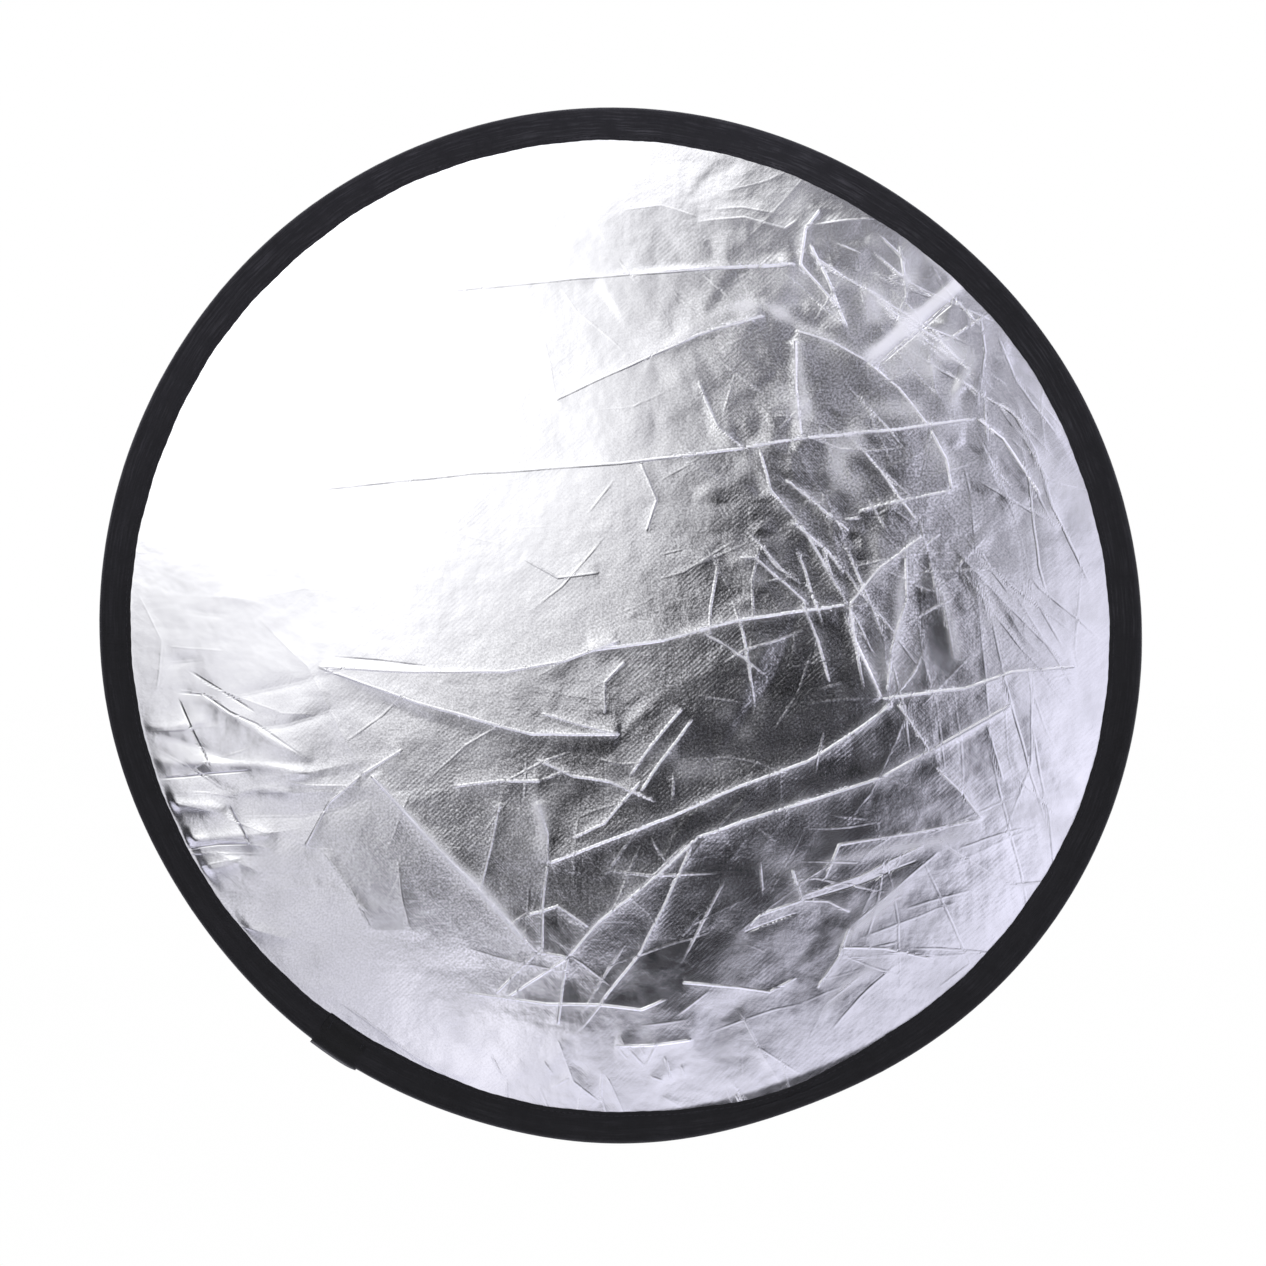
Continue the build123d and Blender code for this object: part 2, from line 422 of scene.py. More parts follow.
# families of small folds: middle and spread in disc radii, heading and its spread in degrees, the length of
# a step and the depth and the width in millimetres, then how worn they are at most and how many there are
SMALL_FOLDS = [
    # crumples right of the middle
    ((0.38, 0.20), (0.11, 0.13), -58, 20, (10, 32), (0.03, 0.12), 1.8, 0.65, 34),
    ((0.44, 0.16), (0.11, 0.11), 25, 20, (10, 30), (0.03, 0.10), 1.8, 0.55, 20),
    # fans below the middle
    ((0.10, -0.45), (0.28, 0.20), 22, 22, (12, 36), (0.03, 0.12), 1.8, 0.42, 32),
    ((0.12, -0.50), (0.28, 0.18), 66, 18, (12, 36), (0.03, 0.12), 1.8, 0.40, 20),
    ((0.40, -0.60), (0.18, 0.12), 14, 18, (10, 28), (0.04, 0.14), 1.8, 0.36, 20),
    # small gathers at the left rim
    ((-0.84, -0.30), (0.06, 0.13), -4, 6, (16, 34), (0.12, 0.42), 3.4, 0.30, 30),
    # long soft folds at the right
    ((0.68, 0.08), (0.12, 0.26), -76, 8, (22, 50), (0.03, 0.10), 2.4, 0.36, 44),
    ((0.74, 0.35), (0.08, 0.16), -58, 16, (10, 30), (0.04, 0.12), 2.0, 0.42, 30),
    # round the upper right, and puckers at the bottom rim
    ((0.38, 0.62), (0.18, 0.12), -35, 24, (10, 30), (0.03, 0.12), 1.8, 0.50, 34),
    ((0.50, 0.68), (0.08, 0.06), -43, 5, (22, 48), (0.02, 0.06), 1.8, 0.80, 16),
    ((0.10, -0.86), (0.26, 0.04), -62, 20, (6, 20), (0.05, 0.20), 2.2, 0.50, 30),
    # everywhere else
    ((0.00, 0.00), (0.50, 0.50), 15, 45, (8, 30), (0.02, 0.10), 1.8, 0.36, 100),
]


def scaled(lines):
    """Lines of points in metres, out of lines in hundredths of the radius."""
    return [[(u / 100 * RADIUS, v / 100 * RADIUS) for u, v in line] for line in lines]


def folded_line(random, middle, spread, heading, turn, length):
    """A short line with a kink or two, somewhere round a middle."""
    x = (middle[0] + random.normal(0, spread[0])) * RADIUS
    z = (middle[1] + random.normal(0, spread[1])) * RADIUS
    bearing = math.radians(heading + random.normal(0, turn))
    points = [(x, z)]
    for _ in range(random.integers(1, 4)):
        step = random.uniform(*length) * MM
        bearing += math.radians(random.normal(0, 9))
        x += step * math.cos(bearing)
        z += step * math.sin(bearing)
        points.append((x, z))
    return points


def near(u, v, inner, outer):
    """1 round a place in disc radii, 0 further out than outer."""
    away = np.hypot(GRID_X / RADIUS - u, GRID_Z / RADIUS - v)
    return np.clip((outer - away) / (outer - inner), 0, 1)


def creased_fabric():
    """The height of the fabric's creases, its broader swells, and the marks of wear and of painted shade,
    over the grid.
    It is calm at the upper left, crumpled at the upper right, and quiet at the lower right and the bottom."""
    random = np.random.default_rng(11)
    fabric = Fabric(random)
    for lines, depth, width, worn, taper, halo_wear in CREASE_KINDS:
        for points in scaled(lines):
            fabric.crease(points, depth * MM, width * MM, worn, taper, halo_wear)
    for middle, spread, heading, turn, length, depth, width, worn, count in SMALL_FOLDS:
        for _ in range(count):
            points = folded_line(random, middle, spread, heading, turn, length)
            sign = random.choice([-1, 1, 1])
            fabric.crease(points, sign * random.uniform(*depth) * MM, width * MM,
                          worn * random.uniform(0.3, 1.0) ** 2, 0.4)
    calm = near(-0.66, 0.57, 0.60, 1.0)
    crumpled = near(0.42, 0.42, 0.25, 0.60)
    quiet = np.maximum(near(0.72, -0.52, 0.30, 0.70), near(-0.35, -0.85, 0.15, 0.45))
    flatter = np.maximum(near(-0.30, 0.30, 0.30, 0.55), near(-0.38, -0.45, 0.12, 0.32))
    fine = fabric.height + softened(crumple_facets(0.013, 0.03 * MM, [], 0, random), 1)
    small = crumple_facets(0.010, 0.09 * MM, scaled(LINE_CREASES), 0.05 * MM, random)
    fine += softened(small, 1) * crumpled
    fine *= (1 - 0.65 * calm) * (1 - 0.4 * quiet)
    large = crumple_facets(0.034, 0.17 * MM, scaled(BOLD_CREASES), 0.15 * MM, random)
    broad = softened(large, 3) * (1 - 0.8 * flatter)
    for size, relief in ((0.11, 0.5), (0.05, 0.12), (0.022, 0.03)):
        broad += smooth_noise(size, random) * relief * MM * (1 - 0.5 * quiet)
    haze = 0.14 * smooth_noise(0.030, random) + 0.12 * smooth_noise(0.011, random)
    haze *= 1 + 1.2 * crumpled
    wear = np.clip(fabric.wear + np.clip(haze, 0, 1) * (1 - calm), 0, 1) * (1 - 0.5 * calm)
    # the worn lines, and under 0 the painted shade along the clefts
    line_wear_and_shade = fabric.line * (1 - 0.75 * calm) * (1 - 0.35 * quiet)
    marks = {"wear": wear, "fold_wear_and_shade": line_wear_and_shade, "fold_way": fabric.line_way}
    return fine, broad, marks


def eased(gap):
    """From 0 where the binding holds the fabric to 1 at a distance of gap inside it."""
    hold = np.clip((LEAF_EDGE_RADIUS + 0.5 * MM - GRID_REACH) / gap, 0, 1)
    return hold * hold * (3 - 2 * hold)


def sheet_surface(fine, broad):
    """The relief eased down to nothing where the binding's leaves hold the fabric, plus the broad bulge."""
    bulge = BULGE * np.clip(1 - (GRID_REACH / LEAF_EDGE_RADIUS) ** 2, 0, 1)
    return fine * eased(0.006) + broad * eased(0.060) + bulge


# ---- meshes


def declare(piece, nodes):
    """Bakes the piece's placement into its mesh, and hides these CAD nodes, which the piece stands for."""
    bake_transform(piece)
    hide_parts(*nodes)


def add_piece(name, points, faces, uvs, material):
    """A smooth piece with a UV map that says where each point was on the flat disc."""
    mesh = bpy.data.meshes.new(name)
    mesh.from_pydata([tuple(p) for p in points], [], [tuple(f) for f in faces])
    mesh.update()
    layer = mesh.uv_layers.new(name="flat")
    corner = np.zeros(len(mesh.loops), int)
    mesh.loops.foreach_get("vertex_index", corner)
    layer.data.foreach_set("uv", np.array(uvs, np.float32)[corner].ravel())
    for polygon in mesh.polygons:
        polygon.use_smooth = True
    mesh.materials.append(material)
    piece = bpy.data.objects.new(name, mesh)
    bpy.context.scene.collection.objects.link(piece)
    return piece


def normals_of(points, faces):
    """Smooth normals at the points of an all-quad mesh."""
    corners = points[faces]
    cross = np.cross(corners[:, 2] - corners[:, 0], corners[:, 3] - corners[:, 1])
    total = np.zeros_like(points)
    for corner in range(4):
        np.add.at(total, faces[:, corner], cross)
    return total / np.maximum(np.linalg.norm(total, axis=1, keepdims=True), 1e-12)


def in_panels(kind, points, faces, uvs, material, middles):
    """Cuts an all-quad mesh into the four bending pieces, with normals that carry on across the cuts."""
    normals = normals_of(points, faces)
    pieces = []
    for panel in PANELS:
        name, left, right, first, second = panel[:5]
        chosen = faces[(middles >= left) & (middles < right)]
        used, compact = np.unique(chosen, return_inverse=True)
        piece = add_piece(f"{kind}_{name}", points[used], compact.reshape(-1, 4), uvs[used], material)
        piece.data.normals_split_custom_set_from_vertices(normals[used].tolist())
        declare(piece, [f"{kind}_{first}", f"{kind}_{second}"])
        pieces.append(piece)
    return pieces


def add_marks(piece, marks, chosen):
    """Hands the marks over the grid to the piece, whose points are the chosen ones of the grid."""
    for name, values in marks.items():
        kind, field = ("FLOAT", "value") if values.ndim == 2 else ("FLOAT_VECTOR", "vector")
        layer = piece.data.attributes.new(name=name, type=kind, domain="POINT")
        listed = values.reshape(GRID_X.size, -1)[chosen].astype(np.float32)
        layer.data.foreach_set(field, listed.ravel())


def fabric_panels(kind, surface, marks, front, material):
    """One fabric as four pieces of one continuous mesh. surface is how far it lies in front of the disc's
    middle plane, and front says whether it faces that way."""
    count = len(AXIS)
    flat = np.column_stack([GRID_X.ravel(), -surface.ravel(), GRID_Z.ravel()])
    corner = np.arange(count * count).reshape(count, count)
    faces = np.stack([corner[:-1, :-1], corner[1:, :-1], corner[1:, 1:], corner[:-1, 1:]], axis=-1)
    faces = faces.reshape(-1, 4)
    if not front:
        faces = faces[:, ::-1]
    keep = (GRID_REACH.ravel()[faces] < SHEET_RADIUS).all(axis=1)
    faces = faces[keep]
    middles = flat[faces][:, :, 0].mean(axis=1)
    uvs = np.column_stack([flat[:, 0], flat[:, 2]]) / (2 * RADIUS) + 0.5
    pieces = in_panels(kind, warped(flat), faces, uvs, material, middles)
    for piece, (name, left, right, *_) in zip(pieces, PANELS):
        chosen = (middles >= left) & (middles < right)
        add_marks(piece, marks, np.unique(faces[chosen]))


def ring_points(angles, radius, depth):
    """Points round the rim out of arrays with one row per angle."""
    return np.stack([radius * np.cos(angles)[:, None], depth, radius * np.sin(angles)[:, None]], axis=-1)


def ring_panels(kind, profile_at, steps, material):
    """Sweeps a closed profile round the rim, from the join on, where the lap covers the ends of its UV map.
    profile_at(angles) gives radius and depth arrays, one row per angle."""
    angles = math.radians(JOIN_ANGLE) + np.linspace(0, 2 * math.pi, steps, endpoint=False)
    radius, depth = profile_at(angles)
    count = radius.shape[1]
    points = warped(ring_points(angles, radius, depth).reshape(-1, 3))
    corner = np.arange(steps * count).reshape(steps, count)
    ahead = np.roll(corner, -1, axis=0)
    over, over_ahead = np.roll(corner, -1, axis=1), np.roll(ahead, -1, axis=1)
    faces = np.stack([corner, over, over_ahead, ahead], axis=-1).reshape(-1, 4)
    around = np.repeat(angles * RADIUS, count)
    lengths = np.hypot(np.diff(radius, axis=1), np.diff(depth, axis=1))
    across = np.concatenate([np.zeros((steps, 1)), np.cumsum(lengths, axis=1)], axis=1).ravel()
    middles = points[faces][:, :, 0].mean(axis=1)
    in_panels(kind, points, faces, np.column_stack([around, across]), material, middles)


def ripple(angles, waves):
    """Small waves round the rim in metres, out of (height in millimetres, how many, shift)."""
    return sum(height * MM * np.sin(angles * count + shift) for height, count, shift in waves)


def hem_radius(angles):
    """Where the binding's inner edge runs: it wanders a little, and puckers at the needle's pull."""
    pucker = ripple(angles, [(0.08, 211, 0), (0.18, 47, 1), (0.30, 13, 0)])
    return RADIUS - binding_width(angles) + pucker


def binding_profile(angles):
    """The tape folded over the rim: a flat leaf on each side of the fabrics, a bead round the spring band."""
    hem = hem_radius(angles)
    pucker = ripple(angles, [(0.10, 211, 1), (0.12, 83, 0), (0.10, 29, 0)])
    # the leaf from its edge on: (inset and height in millimetres, share of the pucker)
    leaf = [(0.0, 0.50, 0.3), (0.2, 0.86, 0.5), (0.9, 0.98, 0.6), (3.0, 0.92, 0.5), (6.0, 1.02, 1.0)]
    radius = [hem + inset * MM for inset, _, _ in leaf]
    depth = [height * MM + wave * pucker for _, height, wave in leaf]
    # the rest as (radius, height) in millimetres
    bead = [
        (291.0, 1.35), (292.6, 2.05), (294.2, 2.72), (295.9, 3.05), (297.6, 2.92), (298.9, 2.25),
        (299.7, 1.2),
    ]
    for at, height in bead:
        radius.append(np.full_like(angles, at * MM))
        depth.append(height * MM + pucker)
    inside = [(299.1, 0.9), (298.3, 2.1), (296.4, 2.45), (294.2, 2.2), (292.3, 0.55)]
    inner_radius = [np.full_like(angles, at * MM) for at, _ in inside]
    inner_depth = [np.full_like(angles, height * MM) for _, height in inside]
    rim = [np.full_like(angles, 300.0 * MM)]
    inner_rim = [np.full_like(angles, 299.4 * MM)]
    flat = [np.zeros_like(angles)]
    # from the front leaf's edge over the bead to the back leaf's edge, then back along the inside
    loop_radius = radius + rim + radius[::-1] + inner_radius[::-1] + inner_rim + inner_radius
    loop_depth = [-d for d in depth] + flat + depth[::-1]
    loop_depth += inner_depth[::-1] + flat + [-d for d in inner_depth]
    return np.stack(loop_radius, axis=1), np.stack(loop_depth, axis=1)


def band_profile(angles):
    """The spring band's section, with its corners broken."""
    corners = [(296.7, -1.8), (296.9, -2.0), (297.4, -2.0), (297.6, -1.8),
               (297.6, 1.8), (297.4, 2.0), (296.9, 2.0), (296.7, 1.8)]
    radius = np.stack([np.full_like(angles, at * MM) for at, _ in corners], axis=1)
    depth = np.stack([np.full_like(angles, height * MM) for _, height in corners], axis=1)
    return radius, depth


def sleeve(name, half_length, steps, outside, inside, material, node):
    """A short sleeve round the rim at the join, with closed ends. outside and inside are profiles like the
    ring's, but open; they give the same number of points."""
    along = np.linspace(-1, 1, steps)
    angles = math.radians(JOIN_ANGLE) + along * half_length / RADIUS
    rings = []
    for profile in (outside, inside):
        radius, depth = profile(angles, along)
        rings.append(ring_points(angles, radius, depth))
    count = rings[0].shape[1]
    loop = np.concatenate([rings[0], rings[1][:, ::-1]], axis=1)
    total = loop.shape[1]
    points = loop.reshape(-1, 3)
    corner = np.arange(steps * total).reshape(steps, total)
    over = np.roll(corner, -1, axis=1)
    faces = np.stack([corner[:-1], over[:-1], over[1:], corner[1:]], axis=-1).reshape(-1, 4)
    ends = []
    for row, turned in ((corner[0], True), (corner[-1], False)):
        for i in range(count - 1):
            face = [row[i], row[i + 1], row[total - 2 - i], row[total - 1 - i]]
            ends.append(face[::-1] if turned else face)
    faces = np.concatenate([faces, np.array(ends)])
    around = np.repeat(angles * RADIUS, total)
    across = np.tile(np.linspace(0, 0.04, total), steps)
    uvs = np.column_stack([around, across])
    piece = add_piece(name, warped(points), faces, uvs, material)
    declare(piece, [node])


def lap_half(lift, hem_shift):
    """One side of the lapped tape end: it lies on the binding, lift millimetres above it."""
    return [(hem_shift, 0.9 + lift), (3.5, 1.0 + lift), (8.5, 1.25 + lift), (11.0, 2.15 + lift),
            (13.2, 2.95 + lift), (15.6, 3.05 + lift), (17.4, 2.3 + lift)]


def lap_profile(lift, hem_shift, rim):
    """One face of the lapped tape end, from the front leaf's edge over the rim to the back leaf's."""
    def profile(angles, along):
        base = 0.2824
        settle = 1 - 0.35 * np.abs(along) ** 6
        half = lap_half(lift, hem_shift)
        radius = [np.full_like(angles, base + inset * MM) for inset, _ in half]
        depth = [height * MM * settle for _, height in half]
        outer = [0.3000 + rim * MM * (1 - 0.5 * np.clip(along, 0, 1) ** 4)]
        flat = [np.zeros_like(angles)]
        loop_radius = radius + outer + radius[::-1]
        loop_depth = [-d for d in depth] + flat + depth[::-1]
        return np.stack(loop_radius, axis=1), np.stack(loop_depth, axis=1)
    return profile


def ferrule_profile(grow):
    """One face of the crimped sleeve, grow millimetres outside the band."""
    def profile(angles, along):
        crimp = 1 - 0.12 * np.exp(-((np.abs(along) - 0.55) / 0.08) ** 2)
        corners = [(296.7 - grow, 0), (296.7 - grow, 2.0 + grow), (297.15, 2.05 + grow),
                   (297.6 + grow, 2.0 + grow), (297.6 + grow, 0)]
        corners += [(at, -height) for at, height in corners[-2:0:-1]]
        corners.append((296.7 - grow, -0.01))
        radius = np.stack([np.full_like(angles, at * MM) for at, _ in corners], axis=1)
        depth = np.stack([height * MM * crimp for _, height in corners], axis=1)
        return radius, depth
    return profile


# ---- thread


def thread_bead(centre, along, across, up, length, width, height):
    """One stitch: a short rounded strand that dips into the tape at both ends."""
    rings, sides = 7, 6
    points = []
    for ring in range(rings):
        place = -1 + 2 * ring / (rings - 1)
        swell = math.sqrt(max(0.0, 1 - place**2)) * 0.9 + 0.1
        middle = centre + along * (place * length / 2) + up * (height * 0.5 * (1 - place**2) - height * 0.35)
        for side in range(sides):
            turn = 2 * math.pi * side / sides
            spread = across * (math.cos(turn) * width / 2 * swell)
            points.append(middle + spread + up * (math.sin(turn) * height / 2 * swell))
    faces = []
    for ring in range(rings - 1):
        for side in range(sides):
            a = ring * sides + side
            b = ring * sides + (side + 1) % sides
            faces.append((a, b, b + sides, a + sides))
    return points, faces


def gather(strands):
    """One mesh's points and faces out of many strands."""
    points, faces = [], []
    for strand_points, strand_faces in strands:
        faces += [tuple(i + len(points) for i in face) for face in strand_faces]
        points += strand_points
    return np.array(points), np.array(faces)


def seam_strands(front, random):
    """The stitches of the seam on one side of the disc, just outside the binding's inner edge."""
    side = -1.0 if front else 1.0
    strands = []
    for number in range(STITCHES):
        angle = 2 * math.pi * (number + random.uniform(-0.06, 0.06)) / STITCHES
        around = np.array([angle])
        radius = float(hem_radius(around)[0]) + 0.0023 + random.uniform(-0.1, 0.1) * MM
        outward = np.array([math.cos(angle), 0, math.sin(angle)])
        along = np.array([-math.sin(angle), 0, math.cos(angle)])
        centre = outward * radius + np.array([0, side * 0.98 * MM, 0])
        up = np.array([0, side, 0])
        strands.append(thread_bead(centre, along, outward, up, 3.0 * MM, 0.55 * MM, 0.34 * MM))
    return strands


def stitching(kind, front, material):
    points, faces = gather(seam_strands(front, np.random.default_rng(5 if front else 6)))
    points = warped(points)
    whole = points[faces].reshape(STITCHES, -1, 3)[:, :, 0].mean(axis=1)
    middles = np.repeat(whole, len(faces) // STITCHES)
    uvs = np.column_stack([points[:, 0], points[:, 2]])
    in_panels(kind, points, faces, uvs, material, middles)


def bartack(material):
    """Two dense bars of zigzag thread across each end of the lapped tape, on both of its sides."""
    strands = []
    for side in (-1.0, 1.0):
        for shift in (-0.0115, 0.0115):
            for row in range(9):
                angle = math.radians(JOIN_ANGLE) + (shift + (0.25 if row % 2 else -0.25) * MM) / RADIUS
                outward = np.array([math.cos(angle), 0, math.sin(angle)])
                along = np.array([-math.sin(angle), 0, math.cos(angle)])
                radius = 0.2840 + row * 0.58 * MM
                slant = along + outward * (0.35 if row % 2 else -0.35)
                slant /= np.linalg.norm(slant)
                centre = outward * radius + np.array([0, side * 1.72 * MM, 0])
                up = np.array([0, side, 0])
                strands.append(thread_bead(centre, slant, outward, up, 1.5 * MM, 0.5 * MM, 0.36 * MM))
    points, faces = gather(strands)
    points = warped(points)
    uvs = np.column_stack([points[:, 0], points[:, 2]])
    piece = add_piece("overlap_bartack", points, faces, uvs, material)
    declare(piece, ["overlap_bartack"])


# ---- materials


class Nodes:
    """Short names for building one node tree."""

    def __init__(self, tree):
        self.tree = tree

    def add(self, kind, inputs=None, **settings):
        made = self.tree.nodes.new(kind)
        for name, value in settings.items():
            setattr(made, name, value)
        for name, value in (inputs or {}).items():
            if isinstance(value, bpy.types.NodeSocket):
                self.tree.links.new(value, made.inputs[name])
            else:
                made.inputs[name].default_value = value
        return made

    def math(self, operation, *values):
        made = self.add("ShaderNodeMath", operation=operation)
        for number, value in enumerate(values):
            if isinstance(value, bpy.types.NodeSocket):
                self.tree.links.new(value, made.inputs[number])
            else:
                made.inputs[number].default_value = value
        return made.outputs[0]

    def range(self, value, low, high, to_low=0.0, to_high=1.0, ease="LINEAR"):
        inputs = {"Value": value, "From Min": low, "From Max": high, "To Min": to_low, "To Max": to_high}
        return self.add("ShaderNodeMapRange", inputs, interpolation_type=ease).outputs["Result"]

    def noise(self, vector, scale, detail=2.0, roughness=0.5):
        inputs = {"Vector": vector, "Scale": scale, "Detail": detail, "Roughness": roughness}
        return self.add("ShaderNodeTexNoise", inputs).outputs["Fac"]

    def blend(self, share, first, second, blend_type="MIX"):
        made = self.add("ShaderNodeMix", data_type="RGBA", blend_type=blend_type)
        for name, value in (("Factor", share), ("A", first), ("B", second)):
            at = [s for s in made.inputs if s.name == name and s.type in ("VALUE", "RGBA")]
            socket = at[0] if name == "Factor" else [s for s in at if s.type == "RGBA"][0]
            if isinstance(value, bpy.types.NodeSocket):
                self.tree.links.new(value, socket)
            else:
                socket.default_value = value
        return [s for s in made.outputs if s.type == "RGBA"][0]

    def bump(self, height, distance, strength=1.0, normal=None):
        inputs = {"Height": height, "Distance": distance, "Strength": strength}
        if normal is not None:
            inputs["Normal"] = normal
        return self.add("ShaderNodeBump", inputs).outputs["Normal"]


def new_material(name):
    material = bpy.data.materials.new(name)
    material.use_nodes = True
    nodes = Nodes(material.node_tree)
    shader = material.node_tree.nodes["Principled BSDF"]
    return material, nodes, shader


def connect(nodes, shader, **sockets):
    for name, value in sockets.items():
        socket = shader.inputs[name.replace("_", " ")]
        if isinstance(value, bpy.types.NodeSocket):
            nodes.tree.links.new(value, socket)
        else:
            socket.default_value = value


def flat_place(nodes):
    """A point's place on the flat disc, in metres, which doesn't slide when the disc bends."""
    flat = nodes.add("ShaderNodeUVMap", uv_map="flat").outputs["UV"]
    moved = nodes.add("ShaderNodeVectorMath", {0: flat}, operation="SUBTRACT")
    moved.inputs[1].default_value = (0.5, 0.5, 0)
    scaled_up = nodes.add("ShaderNodeVectorMath", {0: moved.outputs[0]}, operation="SCALE")
    scaled_up.inputs["Scale"].default_value = 2 * RADIUS
    return scaled_up.outputs[0]


def stripes(nodes, place, degrees, period, waver=0.0):
    """Threads that run at an angle to the horizontal: 0 between them and 1 on their tops."""
    angle = math.radians(degrees)
    across = (-math.sin(angle), math.cos(angle), 0)
    dot = nodes.add("ShaderNodeVectorMath", {0: place}, operation="DOT_PRODUCT")
    dot.inputs[1].default_value = across
    turn = nodes.math("MULTIPLY", dot.outputs["Value"], 2 * math.pi / period)
    if waver:
        wobble = nodes.noise(place, 35.0)
        turn = nodes.math("ADD", turn, nodes.math("MULTIPLY", wobble, waver))
    return nodes.math("MULTIPLY_ADD", nodes.math("SINE", turn), 0.5, 0.5)


def fold_lines(nodes, place):
    """The worn lines along the folds and the painted shade along the clefts, from the way to the nearest one:
    a thin line and a wider ridge.
    """
    way = nodes.add("ShaderNodeAttribute", attribute_name="fold_way").outputs["Vector"]
    parts = nodes.add("ShaderNodeSeparateXYZ", {"Vector": way}).outputs
    flat = nodes.add("ShaderNodeCombineXYZ", {"X": parts["X"], "Y": parts["Y"]}).outputs[0]
    away = nodes.add("ShaderNodeVectorMath", {0: flat}, operation="LENGTH").outputs["Value"]
    # the line's wear, which under 0 is painted shade along a cleft
    worn = nodes.add("ShaderNodeAttribute", attribute_name="fold_wear_and_shade").outputs["Fac"]
    worn = nodes.math("MULTIPLY", worn, nodes.range(parts["Z"], 0.48, 0.60))
    patchy = nodes.range(nodes.noise(place, 60.0, 1.0), 0.35, 0.60, 0.62, 1.0)
    worn = nodes.math("MULTIPLY", worn, patchy)
    line = nodes.math("MULTIPLY", worn, nodes.range(away, 0.72, 0.20))
    ridge = nodes.math("MULTIPLY", worn, nodes.range(away, 1.0, 0.1))
    return line, ridge


def foil_fabric(name, base, deep, pale, roughness, weave):
    material, nodes, shader = new_material(name)
    place = flat_place(nodes)
    twill = stripes(nodes, place, 42, 2.1 * MM, 5.0)
    threads = stripes(nodes, place, -48, 1.15 * MM, 4.0)
    broken = nodes.math("MULTIPLY", twill, nodes.range(nodes.noise(place, 520.0, 1.0), 0.35, 0.6, 0.35, 1.0))
    patch = nodes.range(nodes.noise(place, 26.0, 2.0), 0.40, 0.62, 0.2, 1.0)
    weft = nodes.range(nodes.noise(place, 19.0, 1.0), 0.45, 0.7, 0.2, 0.9)
    woven = nodes.math("ADD", nodes.math("MULTIPLY", broken, patch), nodes.math("MULTIPLY", threads, weft))
    # most of the coating is still smooth at the upper left and at the lower right
    across = nodes.add("ShaderNodeVectorMath", {0: place, 1: (-0.198, 0.171, 0)}, operation="DISTANCE")
    coarse = nodes.range(across.outputs["Value"], 0.19, 0.30, 0.05, 1.0)
    coarse = nodes.math("MULTIPLY", coarse, nodes.range(across.outputs["Value"], 0.48, 0.36, 0.10, 1.0))
    middle = nodes.add("ShaderNodeVectorMath", {0: place, 1: (0.036, -0.006, 0)}, operation="DISTANCE")
    coarse = nodes.math("MULTIPLY", coarse, nodes.range(middle.outputs["Value"], 0.25, 0.17, 0.25, 1.0))
    relief = nodes.math("MULTIPLY_ADD", coarse, 0.75, 0.25)
    grain = nodes.noise(place, 780.0, 2.0, 0.6)
    cockle = nodes.noise(place, 210.0, 3.0, 0.55)
    broad = nodes.noise(place, 70.0, 2.0, 0.5)
    bumped = nodes.bump(nodes.math("MULTIPLY", woven, relief), weave * MM)
    bumped = nodes.bump(nodes.math("MULTIPLY", grain, relief), 0.03 * MM, 1.0, bumped)
    bumped = nodes.bump(nodes.math("MULTIPLY", cockle, relief), 0.08 * MM, 1.0, bumped)
    bumped = nodes.bump(broad, 0.14 * MM, 1.0, bumped)
    line, ridge = fold_lines(nodes, place)
    bumped = nodes.bump(ridge, 0.22 * MM, 1.0, bumped)
    clouds = nodes.noise(place, 12.0, 4.0, 0.6)
    worn = nodes.add("ShaderNodeAttribute", attribute_name="wear").outputs["Fac"]
    worn = nodes.math("MAXIMUM", worn, line)
    colour = nodes.blend(nodes.range(clouds, 0.35, 0.7), base, deep)
    weave_gaps_and_cleft_shade = nodes.math("MULTIPLY", nodes.range(grain, 0.62, 0.36), nodes.range(woven, 1.3, 0.2, 0.35, 1.0))
    weave_gaps_and_cleft_shade = nodes.math("MULTIPLY", weave_gaps_and_cleft_shade, coarse)
    # painted shade: lines under 0 darken the colour along the clefts under folds
    weave_gaps_and_cleft_shade = nodes.math("MAXIMUM", weave_gaps_and_cleft_shade, nodes.math("MULTIPLY", line, -1.3))
    colour = nodes.blend(weave_gaps_and_cleft_shade, colour, (*[c * 0.32 for c in base[:3]], 1))
    colour = nodes.blend(worn, colour, pale)
    dull = nodes.range(nodes.noise(place, 34.0, 3.0, 0.6), 0.3, 0.75, roughness - 0.02, roughness + 0.04)
    dull = nodes.math("MULTIPLY_ADD", worn, 0.36, dull)
    connect(nodes, shader, Base_Color=colour, Metallic=1.0, Roughness=dull, Normal=bumped)
    return material


